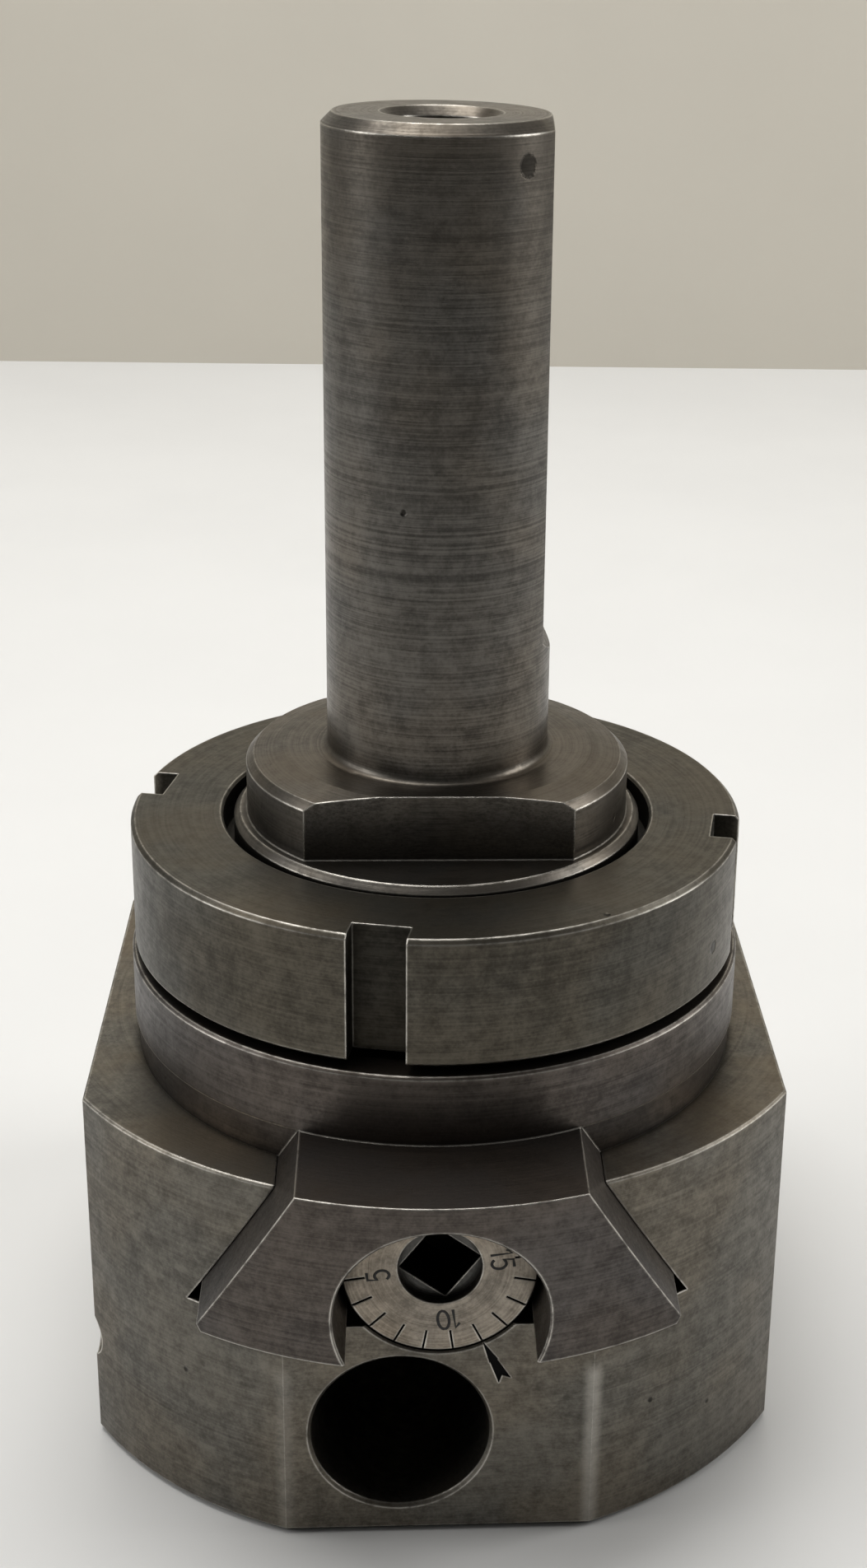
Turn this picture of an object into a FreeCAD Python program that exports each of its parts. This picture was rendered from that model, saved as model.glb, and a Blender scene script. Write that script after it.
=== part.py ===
"""Boring head: a straight shank clamped by a slotted ring nut to a body with a male dovetail,
and a tool block that a graduated screw moves across the spindle axis.

Frame: millimetres, +Z up along the spindle axis, origin on that axis in the plane of the
block's bottom face. The dial and the front tool bore face -Y.
"""
import FreeCAD, Part
import Sketcher
import math
import os
import re

Vector = FreeCAD.Vector
Rotation = FreeCAD.Rotation

# Driving dimensions, millimetres and degrees: alias, value, meaning.
SIZES = [
    # tool block
    ("block_dia", 120.0, "turned diameter of the tool block"),
    ("side_flat_cut", 9.5, "how deep the side flats cut into the turned diameter"),
    ("end_flat_cut", 4.0, "how deep the front and back flats cut into it"),
    ("block_height", 57.3, "bottom face to top face"),
    ("block_edge", 1.0, "chamfer round the bottom"),
    ("small_edge", 0.3, "sharp edges broken by hand"),
    ("slide_offset", 9.55, "how far back the block is wound at rest"),
    ("tool_bore_dia", 25.0, "both tool bores"),
    ("front_bore_depth", 40.0, "depth of the front tool bore"),
    ("front_bore_side", 5.4, "front bore's distance to the left of the centre"),
    ("front_bore_height", 17.1, "height of the front bore's axis"),
    ("base_bore_depth", 27.0, "depth of the bottom tool bore"),
    ("bore_edge", 0.5, "chamfer at the mouth of a tool bore"),
    # dovetail
    ("dovetail_top", 38.0, "width across the top of the male dovetail"),
    ("dovetail_angle", 60.0, "flank angle from the horizontal"),
    ("dovetail_height", 24.8, "height of the male dovetail"),
    ("dovetail_edge", 1.2, "corner broken along the foot of each flank"),
    ("flank_gap", 0.15, "play at each flank"),
    ("floor_gap", 2.7, "open gap under the male dovetail"),
    # body above the block
    ("body_dia", 120.0, "turned diameter of the dovetail's ends"),
    ("band_dia", 89.0, "shoulder that rides on the block"),
    ("band_height", 5.2, "height of that shoulder"),
    ("collar_dia", 90.0, "collar of the body"),
    ("collar_height", 10.3, "height of the collar"),
    ("collar_edge", 0.4, "chamfer on the collar"),
    ("boss_dia", 76.0, "threaded boss that carries the ring nut"),
    ("boss_height", 10.4, "height of the boss"),
    ("undercut", 1.5, "thread runout groove at the foot of the boss"),
    # ring nut
    ("ring_dia", 89.0, "outside of the ring nut"),
    ("ring_gap", 1.4, "open gap between collar and ring nut"),
    ("ring_edge", 0.6, "chamfer on the ring nut"),
    ("lip_bore", 62.5, "hole through the ring nut's lip"),
    ("lip_height", 5.0, "thickness of the lip that clamps the shank"),
    ("thread_gap", 0.08, "radial play in a screw thread that turns"),
    ("slot_width", 8.0, "width of a spanner slot"),
    ("slot_depth", 4.0, "depth of a spanner slot"),
    ("slot_count", 4, "number of spanner slots"),
    ("ring_angle", 11.2, "how far the front slot lies to the left"),
    # shank
    ("spigot_dia", 36.0, "spigot that centres the shank in the body"),
    ("spigot_length", 12.0, "length of the spigot"),
    ("spigot_gap", 0.02, "radial play of the spigot"),
    ("clamp_flange_step", 3.0, "flange under the ring nut's lip, inside the boss's radius"),
    ("clamp_flange_height", 4.5, "thickness of that flange"),
    ("register_gap", 1.55, "radial gap between the lip and the disc inside it"),
    ("register_height", 5.4, "height of the disc"),
    ("register_edge", 0.95, "chamfer on the disc"),
    ("flange_dia", 55.5, "wrench flange"),
    ("flange_flats", 41.0, "across the wrench flats"),
    ("flange_height", 8.6, "height of the wrench flange at its rim"),
    ("flange_edge", 1.1, "chamfer round the wrench flange"),
    ("crown_dia", 44.0, "raised face of the wrench flange"),
    ("crown_rise", 0.9, "how far that face rises above the rim"),
    ("root_radius", 1.2, "fillet at the root of the shank"),
    ("shank_dia", 32.0, "straight shank"),
    ("shank_length", 90.3, "shank above the wrench flange's rim"),
    ("shank_edge", 1.5, "chamfer at the end of the shank"),
    ("shank_flat_depth", 1.4, "depth of the flat along the shank"),
    ("shank_flat_length", 72.0, "length of that flat from the end"),
    ("shank_flat_runout", 2.1, "length of the cutter's runout"),
    ("drawbar_dia", 14.0, "tapping diameter of the drawbar thread"),
    ("drawbar_mouth", 16.6, "countersink of the drawbar thread"),
    ("drawbar_depth", 36.0, "depth of the drawbar hole"),
    ("pin_dia", 8.0, "drive pins"),
    ("pin_wall", 2.0, "wall between spigot and drive pin"),
    ("pin_in_body", 8.0, "length of a drive pin in the body"),
    ("pin_in_shank", 6.0, "length of a drive pin in the shank"),
    # feed screw and dial
    ("screw_rise", 6.65, "feed screw's axis above the male dovetail's foot"),
    ("screw_dia", 10.0, "feed screw thread"),
    ("journal_wall", 0.85, "journal's wall at the socket's corners"),
    ("journal_gap", 0.03, "radial play of the journal"),
    ("thrust_gap", 0.35, "gap between the thrust collar and the groove floor"),
    ("thrust_length", 3.0, "length of the thrust collar"),
    ("socket_size", 8.0, "square socket across its flats"),
    ("socket_depth", 10.0, "depth of the square socket"),
    ("dial_dia", 27.0, "dial"),
    ("dial_thickness", 5.0, "thickness of the dial"),
    ("dial_web", 1.5, "dial's front wall over the journal"),
    ("dial_bore_gap", 0.15, "hole in the dial's front, outside the socket's corners"),
    ("dial_edge", 0.25, "chamfer on the dial"),
    ("dial_gap", 0.3, "radial gap round the dial in the block"),
    ("pocket_gap", 0.8, "radial gap round the dial in the body"),
    ("dial_lines", 20, "number of graduations"),
    ("dial_reading", 11, "graduation at the index arrow"),
    ("line_length", 3.2, "length of a graduation"),
    ("line_width", 0.3, "width of a graduation"),
    ("line_depth", 0.2, "depth of graduations and arrow"),
    ("arrow_angle", 26.0, "index arrow, to the right of straight down"),
    ("arrow_length", 7.3, "length of the index arrow"),
    ("arrow_width", 1.9, "width of the index arrow at its tail"),
    ("arrow_step", 0.12, "step on each side where its head ends"),
    ("front_washer_dia", 22.0, "thrust washer behind the dial"),
    ("washer_thickness", 1.0, "thickness of a thrust washer"),
    ("bracket_step", 1.5, "bracket that carries the screw, inside the dial's radius"),
    ("bracket_thickness", 10.0, "thickness of the bracket"),
    ("bracket_foot", 4.5, "how deep the bracket sits in the groove floor"),
    ("bracket_screw_dia", 3.0, "bracket screws"),
    ("bracket_screw_inset", 3.4, "bracket screws, in from the bracket's side"),
    ("bracket_screw_drop", 1.8, "bracket screws below the groove floor"),
    ("bracket_screw_length", 20.0, "length of a bracket screw under its head"),
    ("bracket_head_dia", 5.0, "head of a bracket screw"),
    ("bracket_head_height", 2.0, "height of that head"),
    # feed nut
    ("nut_width", 27.0, "feed nut"),
    ("nut_length", 26.0, "length of the feed nut"),
    ("nut_front", 11.0, "nut's front face ahead of the spindle axis"),
    ("nut_roof", 8.65, "nut's top face above the screw's axis"),
    ("nut_recess", 0.2, "nut's bottom face above the dovetail's"),
    ("nut_screw_dia", 4.0, "nut screws"),
    ("nut_screw_inset", 4.3, "nut screws, in from the nut's side"),
    ("nut_screw_reach", 8.0, "length of a nut screw in the body"),
    ("nut_head_dia", 7.0, "head of a nut screw"),
    ("nut_head_height", 4.0, "height of that head"),
    ("tail_gap", 1.0, "radial gap round the stop washer in its channel"),
    ("stop_gap", 1.0, "free run before each end stop"),
    ("tail_dia", 14.0, "stop washer at the screw's tail"),
    ("tail_thickness", 2.0, "thickness of the stop washer"),
    ("tail_screw_dia", 5.0, "screw that holds the stop washer"),
    ("tail_screw_length", 10.0, "length of that screw under its head"),
    ("tail_head_dia", 8.5, "head of that screw"),
    ("tail_head_height", 3.0, "height of that head"),
    ("grub_dia", 3.0, "grub screw that locks the dial"),
    # flank screws and shoes
    ("flank_screw_dia", 8.0, "lock and adjusting screws"),
    ("flank_screw_length", 12.0, "length of those screws"),
    ("flank_screw_spacing", 22.0, "distance from one to the next"),
    ("flank_screw_drop", 11.3, "their axes below the block's top"),
    ("flank_screw_inset", 0.5, "how far they lie below the side flat"),
    ("shoe_dia", 6.5, "brass shoes"),
    ("shoe_gap", 0.05, "radial play of a shoe, and its gap to the flank"),
    # tool clamping screws
    ("clamp_screw_dia", 8.0, "screws that clamp a tool"),
    ("clamp_screw_inset", 0.3, "tip of a clamp screw outside the bore"),
    ("front_clamp_sunk", 2.3, "how far the front bore's screws lie below the side flat"),
    ("front_clamp_setback", 26.0, "outer one behind the front flat"),
    ("front_clamp_wall", 1.0, "wall between the two"),
    ("base_clamp_sunk", 2.7, "how far the bottom bore's screws lie below the side flat"),
    ("base_clamp_low", 9.5, "height of the lower one"),
    ("base_clamp_wall", 3.0, "wall between the two"),
    ("key_size", 4.0, "hexagon socket of the M8 screws"),
]
ALIASES = {alias for alias, _, _ in SIZES}

# Levels up the spindle axis, from the block's bottom.
COLLAR_BASE = "(block_height + band_height)"
COLLAR_TOP = f"({COLLAR_BASE} + collar_height)"
BOSS_TOP = f"({COLLAR_TOP} + boss_height)"
CLAMP_TOP = f"({BOSS_TOP} + clamp_flange_height)"
REGISTER_TOP = f"({CLAMP_TOP} + register_height)"
FLANGE_TOP = f"({REGISTER_TOP} + flange_height)"
SHANK_TOP = f"({FLANGE_TOP} + shank_length)"
RING_BOTTOM = f"({COLLAR_TOP} + ring_gap)"
RING_TOP = f"({CLAMP_TOP} + lip_height)"
DOVETAIL_FOOT = f"({COLLAR_BASE} - dovetail_height)"
GROOVE_FLOOR = f"({DOVETAIL_FOOT} - floor_gap)"
SCREW_LEVEL = f"({DOVETAIL_FOOT} + screw_rise)"
FLANK_LEVEL = "(block_height - flank_screw_drop)"
NUT_TOP = f"({SCREW_LEVEL} + nut_roof)"
NUT_FOOT = f"({DOVETAIL_FOOT} + nut_recess)"

# Stations along the feed screw, from the block's centre.
DIAL_FRONT = "(end_flat_cut - block_dia / 2)"
DIAL_BACK = f"({DIAL_FRONT} + dial_thickness)"
BRACKET_FRONT = f"({DIAL_BACK} + washer_thickness)"
BRACKET_BACK = f"({BRACKET_FRONT} + bracket_thickness)"
THRUST_FRONT = f"({BRACKET_BACK} + washer_thickness)"
THRUST_BACK = f"({THRUST_FRONT} + thrust_length)"
JOURNAL_FRONT = f"({DIAL_FRONT} + dial_web)"
THREAD_END = "(nut_length - nut_front + stop_gap)"

# Distances out from an axis, or from the plane x = 0.
SIDE_FLAT = "(block_dia / 2 - side_flat_cut)"
CLAMP_RADIUS = "(boss_dia / 2 - clamp_flange_step)"
REGISTER_RADIUS = "(lip_bore / 2 - register_gap)"
PIN_SIDE = "(spigot_dia / 2 + pin_wall + pin_dia / 2)"
SOCKET_CORNER = "(socket_size / 2 / cos(45))"
JOURNAL_RADIUS = f"({SOCKET_CORNER} + journal_wall)"
THRUST_RADIUS = "(screw_rise + floor_gap - thrust_gap)"
DIAL_BORE_RADIUS = f"({SOCKET_CORNER} + dial_bore_gap)"
BRACKET_RADIUS = "(dial_dia / 2 - bracket_step)"
BRACKET_SCREW_SIDE = f"({BRACKET_RADIUS} - bracket_screw_inset)"
BRACKET_SCREW_LEVEL = f"({GROOVE_FLOOR} - bracket_screw_drop)"
NUT_SCREW_SIDE = "(nut_width / 2 - nut_screw_inset)"
CHANNEL_RADIUS = "(tail_dia / 2 + tail_gap)"
FLANK_HOLE_END = f"({SIDE_FLAT} - flank_screw_inset - flank_screw_length)"
FRONT_CLAMP_TIP = "(front_bore_side + tool_bore_dia / 2 + clamp_screw_inset)"
BASE_CLAMP_TIP = "(tool_bore_dia / 2 + clamp_screw_inset)"

# The screws that clamp a tool: name, and station along Y or level.
FRONT_CLAMPS = [
    ("outer", f"({DIAL_FRONT} + front_clamp_setback)"),
    ("inner", f"({DIAL_FRONT} + front_clamp_setback + clamp_screw_dia + front_clamp_wall)"),
]
BASE_CLAMPS = [
    ("lower", "base_clamp_low"),
    ("upper", "(base_clamp_low + clamp_screw_dia + base_clamp_wall)"),
]
MARGIN = 1.0        # how far a cutter starts outside the face it cuts


def flank_half_width(level):
    """Half the male dovetail's width at a level, as a formula."""
    return f"(dovetail_top / 2 + ({COLLAR_BASE} - {level}) / tan(dovetail_angle))"


def formula(text):
    """Write a formula on the sheet's aliases the way FreeCAD reads it."""
    def named(word):
        return ("Sizes." if word.group() in ALIASES else "") + word.group()

    return re.sub(r"[a-z_]{2,}", named, str(text))


def bind(target, path, text):
    target.setExpression(path, formula(text))


def make_sheet(doc):
    sheet = doc.addObject("Spreadsheet::Sheet", "Sizes")
    for row, (alias, value, meaning) in enumerate(SIZES, start=1):
        sheet.set(f"A{row}", meaning)
        sheet.set(f"B{row}", str(value))
        sheet.setAlias(f"B{row}", alias)
    doc.recompute()


def place(thing, across="0", along="0", up="0"):
    """Bind a sub-part's position to the sheet."""
    for axis, text in zip("xyz", (across, along, up)):
        if text != "0":
            bind(thing, f"Placement.Base.{axis}", text)


class Piece:
    """A PartDesign body with short names for the features this model uses."""

    ROLES = {"XY": "XY_Plane", "XZ": "XZ_Plane", "YZ": "YZ_Plane"}

    def __init__(self, doc, label, along="0", up="0", axis=None, angle="0"):
        self.doc = doc
        self.body = doc.addObject("PartDesign::Body", label)
        self.body.Label = label
        if axis is not None:
            self.body.Placement = FreeCAD.Placement(Vector(), Rotation(axis, MARGIN))
            bind(self.body, "Placement.Rotation.Angle", f"({angle}) * 1 deg")
        place(self.body, along=along, up=up)
        self.steps = 0

    def origin(self, role):
        return next(item for item in self.body.Origin.OriginFeatures if item.Role == role)

    def sketch(self, plane, level="0", up="0", turn="0"):
        """A sketch on an origin plane, moved to a level along +Z, +Y or +X."""
        self.steps += 1
        sketch = self.body.newObject("Sketcher::SketchObject", f"{self.body.Name}_sketch{self.steps}")
        sketch.AttachmentSupport = [(self.origin(self.ROLES[plane]), "")]
        sketch.MapMode = "FlatFace"
        if level != "0":
            bind(sketch, "AttachmentOffset.Base.z", f"-({level})" if plane == "XZ" else level)
        if up != "0":
            bind(sketch, "AttachmentOffset.Base.y", up)
        if turn != "0":
            bind(sketch, "AttachmentOffset.Rotation.Angle", f"({turn}) * 1 deg")
        return sketch

    def outline(self, sketch, points):
        """Closed polygon whose corners are formulas."""
        first = sketch.GeometryCount
        count = len(points)
        for corner in range(count):
            sketch.addGeometry(Part.LineSegment(Vector(corner, corner * corner, 0),
                                                Vector(corner + 1, (corner + 1) ** 2, 0)))
        for corner in range(count):
            sketch.addConstraint(Sketcher.Constraint("Coincident", first + corner, 2,
                                                     first + (corner + 1) % count, 1))
        for corner, point in enumerate(points):
            self.pin(sketch, first + corner, 1, point)
        return sketch

    def pin(self, sketch, geometry, end, point):
        """Fix a point of a sketch at the formulas of its two coordinates."""
        for kind, axis, text in (("DistanceX", -2, point[0]), ("DistanceY", -1, point[1])):
            if str(text) == "0":
                sketch.addConstraint(Sketcher.Constraint("PointOnObject", geometry, end, axis))
            else:
                number = sketch.addConstraint(Sketcher.Constraint(kind, -1, 1, geometry, end, MARGIN))
                bind(sketch, f"Constraints[{number}]", text)

    def circles(self, sketch, radius, centres):
        for centre in centres:
            start = Part.Circle(Vector(number_hint(sketch), 0, 0), Vector(0, 0, 1), MARGIN)
            number = sketch.addGeometry(start)
            if tuple(map(str, centre)) == ("0", "0"):
                sketch.addConstraint(Sketcher.Constraint("Coincident", number, 3, -1, 1))
            else:
                self.pin(sketch, number, 3, centre)
            size = sketch.addConstraint(Sketcher.Constraint("Radius", number, MARGIN))
            bind(sketch, f"Constraints[{size}]", radius)
        return sketch

    def feature(self, kind, sketch, length, sides="One side", flip=False):
        feature = self.body.newObject(f"PartDesign::{kind}", f"{sketch.Name}_{kind.lower()}")
        feature.Profile = sketch
        feature.SideType = sides
        feature.Reversed = flip
        bind(feature, "Length", length)
        self.body.Tip = feature
        sketch.Visibility = False
        return feature

    def pad(self, sketch, length, sides="One side", flip=False):
        return self.feature("Pad", sketch, length, sides, flip)

    def pocket(self, sketch, depth, sides="One side", flip=False):
        return self.feature("Pocket", sketch, depth, sides, flip)

    def turned(self, kind, sketch, axis):
        """Revolution or Groove of a profile about one of its sketch's axes."""
        feature = self.body.newObject(f"PartDesign::{kind}", f"{sketch.Name}_{kind.lower()}")
        feature.Profile = sketch
        feature.ReferenceAxis = (sketch, [axis])
        feature.Angle = 360
        self.body.Tip = feature
        return feature

    def pattern(self, feature, axis_role, count):
        pattern = self.body.newObject("PartDesign::PolarPattern", f"{feature.Name}_pattern")
        pattern.Originals = [feature]
        pattern.Axis = (self.origin(axis_role), [""])
        pattern.Angle = 360
        bind(pattern, "Occurrences", count)
        self.body.Tip = pattern

    def dress(self, kind, size_name, size, wanted):
        """Chamfer or Fillet on the edges that a test picks."""
        self.doc.recompute()
        base = self.body.Tip
        edges = [f"Edge{number}" for number, edge in enumerate(base.Shape.Edges, start=1) if wanted(edge)]
        feature = self.body.newObject(f"PartDesign::{kind}", f"{base.Name}_{kind.lower()}")
        feature.Base = (base, edges)
        bind(feature, size_name, size)
        self.body.Tip = feature


def number_hint(sketch):
    """A starting place for a new circle, away from the ones before it."""
    return 4.0 * sketch.GeometryCount


def rectangle(left, bottom, right, top):
    return [(left, bottom), (right, bottom), (right, top), (left, top)]


def reading(doc, alias):
    """A size as a number, for code that picks edges by their place."""
    return float(doc.Sizes.get(alias))


def level_of(doc, *aliases):
    return sum(reading(doc, alias) for alias in aliases)


# ---------------------------------------------------------------- body and shank

def make_head_body(doc):
    piece = Piece(doc, "head_body")
    top, foot = flank_half_width(COLLAR_BASE), flank_half_width(DOVETAIL_FOOT)
    break_in = "dovetail_edge * cos(dovetail_angle)"
    break_up = f"{DOVETAIL_FOOT} + dovetail_edge * sin(dovetail_angle)"
    male = piece.outline(piece.sketch("XZ"), [
        (f"-({foot} - dovetail_edge)", DOVETAIL_FOOT), (f"{foot} - dovetail_edge", DOVETAIL_FOOT),
        (f"{foot} - {break_in}", break_up), (top, COLLAR_BASE),
        (f"-{top}", COLLAR_BASE), (f"-({foot} - {break_in})", break_up)])
    piece.pad(male, "body_dia", sides="Symmetric")
    beyond = piece.outline(piece.sketch("XZ"), rectangle(
        "body_dia / 2", f"{DOVETAIL_FOOT} - {MARGIN}", "body_dia", f"{COLLAR_BASE} + {MARGIN}"))
    piece.turned("Groove", beyond, "V_Axis")
    spindle = piece.outline(piece.sketch("XZ"), [
        ("0", "block_height"), ("band_dia / 2", "block_height"), ("band_dia / 2", COLLAR_BASE),
        ("collar_dia / 2", COLLAR_BASE), ("collar_dia / 2", f"{COLLAR_TOP} - collar_edge"),
        ("collar_dia / 2 - collar_edge", COLLAR_TOP), ("boss_dia / 2 - undercut", COLLAR_TOP),
        ("boss_dia / 2 - undercut", f"{COLLAR_TOP} + undercut"),
        ("boss_dia / 2", f"{COLLAR_TOP} + 2 * undercut"), ("boss_dia / 2", f"{BOSS_TOP} - collar_edge"),
        ("boss_dia / 2 - collar_edge", BOSS_TOP), ("0", BOSS_TOP)])
    piece.turned("Revolution", spindle, "V_Axis")
    spigot = piece.circles(piece.sketch("XY", BOSS_TOP), "spigot_dia / 2 + spigot_gap", [("0", "0")])
    piece.pocket(spigot, f"spigot_length + {MARGIN}")
    pins = piece.circles(piece.sketch("XY", BOSS_TOP), "pin_dia / 2",
                         [(f"-{PIN_SIDE}", "0"), (PIN_SIDE, "0")])
    piece.pocket(pins, "pin_in_body")
    front = piece.circles(piece.sketch("XZ", f"-body_dia / 2 - {MARGIN}"), "dial_dia / 2 + pocket_gap",
                          [("0", SCREW_LEVEL)])
    piece.pocket(front, f"body_dia / 2 + {MARGIN} - nut_front")
    below = f"{DOVETAIL_FOOT} - {MARGIN}"
    seat = piece.outline(piece.sketch("XZ", "-nut_front"),
                         rectangle("-nut_width / 2", below, "nut_width / 2", NUT_TOP))
    piece.pocket(seat, "nut_length")
    behind = f"body_dia / 2 + {MARGIN} + nut_front"
    channel = piece.outline(piece.sketch("XZ", "-nut_front"),
                            rectangle(f"-{CHANNEL_RADIUS}", below, CHANNEL_RADIUS, SCREW_LEVEL))
    piece.pocket(channel, behind)
    roof = piece.circles(piece.sketch("XZ", "-nut_front"), CHANNEL_RADIUS, [("0", SCREW_LEVEL)])
    piece.pocket(roof, behind)
    taps = piece.circles(piece.sketch("XY", NUT_TOP), "nut_screw_dia / 2", nut_screw_places())
    piece.pocket(taps, "nut_screw_reach", flip=True)
    end_radius = reading(doc, "body_dia") / 2
    piece.dress("Chamfer", "Size", "small_edge", lambda edge: is_pocket_rim(edge, end_radius))
    return piece.body


def is_pocket_rim(edge, radius):
    """True for a curved edge, neither flat nor upright, whose points are all at a radius from the axis."""
    box = edge.BoundBox
    points = edge.discretize(5)
    around = all(abs(math.hypot(point.x, point.y) - radius) < 1e-3 for point in points)
    return around and box.ZLength > 1e-3 and edge.Curve.TypeId == "Part::GeomBSplineCurve" and box.YMax < 0


def nut_screw_places():
    middle = "nut_length / 2 - nut_front"
    return [(f"-{NUT_SCREW_SIDE}", middle), (NUT_SCREW_SIDE, middle)]


def make_shank(doc):
    piece = Piece(doc, "shank")
    profile = piece.outline(piece.sketch("XZ"), [
        ("0", f"{BOSS_TOP} - spigot_length"),
        ("spigot_dia / 2 - register_edge", f"{BOSS_TOP} - spigot_length"),
        ("spigot_dia / 2", f"{BOSS_TOP} - spigot_length + register_edge"), ("spigot_dia / 2", BOSS_TOP),
        (CLAMP_RADIUS, BOSS_TOP), (CLAMP_RADIUS, CLAMP_TOP), (REGISTER_RADIUS, CLAMP_TOP),
        (REGISTER_RADIUS, f"{REGISTER_TOP} - register_edge"),
        (f"{REGISTER_RADIUS} - register_edge", REGISTER_TOP), ("flange_dia / 2", REGISTER_TOP),
        ("flange_dia / 2", f"{FLANGE_TOP} - flange_edge"), ("flange_dia / 2 - flange_edge", FLANGE_TOP),
        ("crown_dia / 2", f"{FLANGE_TOP} + crown_rise"), ("shank_dia / 2", f"{FLANGE_TOP} + crown_rise"),
        ("shank_dia / 2", f"{SHANK_TOP} - shank_edge"), ("shank_dia / 2 - shank_edge", SHANK_TOP),
        ("0", SHANK_TOP)])
    piece.turned("Revolution", profile, "V_Axis")
    root_level = level_of(doc, "block_height", "band_height", "collar_height", "boss_height",
                          "clamp_flange_height", "register_height", "flange_height", "crown_rise")
    root_radius = reading(doc, "shank_dia") / 2
    piece.dress("Fillet", "Radius", "root_radius", lambda edge: is_circle(edge, root_radius, root_level))
    flats = piece.sketch("XY", REGISTER_TOP)
    half = f"flange_dia / 2 + {MARGIN}"
    piece.outline(flats, rectangle(f"-({half})", f"-({half})", half, "-flange_flats / 2"))
    piece.outline(flats, rectangle(f"-({half})", "flange_flats / 2", half, half))
    piece.pocket(flats, f"flange_height + crown_rise + {MARGIN}", flip=True)
    flat_floor, flat_end = "shank_dia / 2 - shank_flat_depth", f"{SHANK_TOP} - shank_flat_length"
    long_flat = piece.outline(piece.sketch("XZ"), [
        (flat_floor, f"{SHANK_TOP} + {MARGIN}"), (flat_floor, flat_end),
        ("shank_dia / 2", f"{flat_end} - shank_flat_runout"),
        ("shank_dia", f"{flat_end} - shank_flat_runout"), ("shank_dia", f"{SHANK_TOP} + {MARGIN}")])
    piece.pocket(long_flat, "shank_dia", sides="Symmetric")
    mouth_step = "(drawbar_mouth - drawbar_dia) / 2"
    drawbar = piece.outline(piece.sketch("XZ"), [
        ("0", f"{SHANK_TOP} + {MARGIN}"), (f"drawbar_mouth / 2 + {MARGIN}", f"{SHANK_TOP} + {MARGIN}"),
        ("drawbar_dia / 2", f"{SHANK_TOP} - {mouth_step}"),
        ("drawbar_dia / 2", f"{SHANK_TOP} - drawbar_depth"),
        ("0", f"{SHANK_TOP} - drawbar_depth - drawbar_dia / 2 * tan(30)")])
    piece.turned("Groove", drawbar, "V_Axis")
    pins = piece.circles(piece.sketch("XY", BOSS_TOP), "pin_dia / 2",
                         [(f"-{PIN_SIDE}", "0"), (PIN_SIDE, "0")])
    piece.pocket(pins, "pin_in_shank", flip=True)
    return piece.body


def is_circle(edge, radius, level):
    """True for a horizontal circle of a radius about the spindle axis at a level."""
    box = edge.BoundBox
    near = 1e-3
    return (abs(box.ZMin - level) < near and abs(box.ZMax - level) < near
            and abs(box.XMax - radius) < near and abs(box.XMin + radius) < near)


def make_ring_nut(doc):
    piece = Piece(doc, "ring_nut", axis=Vector(0, 0, 1), angle="-ring_angle")
    profile = piece.outline(piece.sketch("XZ"), [
        ("boss_dia / 2 + thread_gap", RING_BOTTOM), ("ring_dia / 2 - collar_edge", RING_BOTTOM),
        ("ring_dia / 2", f"{RING_BOTTOM} + collar_edge"),
        ("ring_dia / 2", f"{RING_TOP} - ring_edge"), ("ring_dia / 2 - ring_edge", RING_TOP),
        ("lip_bore / 2 + collar_edge", RING_TOP), ("lip_bore / 2", f"{RING_TOP} - collar_edge"),
        ("lip_bore / 2", CLAMP_TOP), ("boss_dia / 2 + thread_gap", CLAMP_TOP)])
    piece.turned("Revolution", profile, "V_Axis")
    slot = piece.outline(piece.sketch("XY", f"{RING_TOP} + {MARGIN}"), rectangle(
        "-slot_width / 2", "-ring_dia / 2 - slot_depth", "slot_width / 2", "-ring_dia / 2 + slot_depth"))
    cut = piece.pocket(slot, f"{RING_TOP} - {RING_BOTTOM} + 2 * {MARGIN}")
    piece.pattern(cut, "Z_Axis", "slot_count")
    return piece.body


def make_drive_pins(doc):
    pin = doc.addObject("Part::Cylinder", "drive_pin_left")
    bind(pin, "Radius", "pin_dia / 2")
    bind(pin, "Height", "pin_in_body + pin_in_shank")
    place(pin, across=f"-{PIN_SIDE}", up=f"{BOSS_TOP} - pin_in_body")
    return mirrored_pair(doc, "drive_pins", pin)


def mirrored_pair(doc, label, single):
    """A node of two equal solids, one each side of the plane x = 0."""
    twin = doc.addObject("Part::Mirroring", f"{label}_twin")
    twin.Source = single
    twin.Normal = Vector(1, 0, 0)
    pair = doc.addObject("Part::Compound", label)
    pair.Label = label
    pair.Links = [single, twin]
    return pair


def make_cap_screw(doc, name, thread, length, head, head_height, key):
    """Cap screw along +Z from under its head at z = 0, head below, from Part solids."""
    rod = doc.addObject("Part::Cylinder", f"{name}_rod")
    bind(rod, "Radius", f"({thread}) / 2")
    bind(rod, "Height", length)
    cap = doc.addObject("Part::Cylinder", f"{name}_cap")
    bind(cap, "Radius", f"({head}) / 2")
    bind(cap, "Height", head_height)
    place(cap, up=f"-({head_height})")
    screw = doc.addObject("Part::Fuse", f"{name}_blank")
    screw.Base, screw.Tool = rod, cap
    socket = doc.addObject("Part::Prism", f"{name}_socket")
    socket.Polygon = 6
    bind(socket, "Circumradius", f"({key}) / 2 / cos(30)")
    bind(socket, "Height", f"({head_height}) * 0.6 + {MARGIN}")
    place(socket, up=f"-({head_height}) - {MARGIN}")
    cut = doc.addObject("Part::Cut", name)
    cut.Base, cut.Tool = screw, socket
    return cut


# ---------------------------------------------------------------- feed nut in the body

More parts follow.
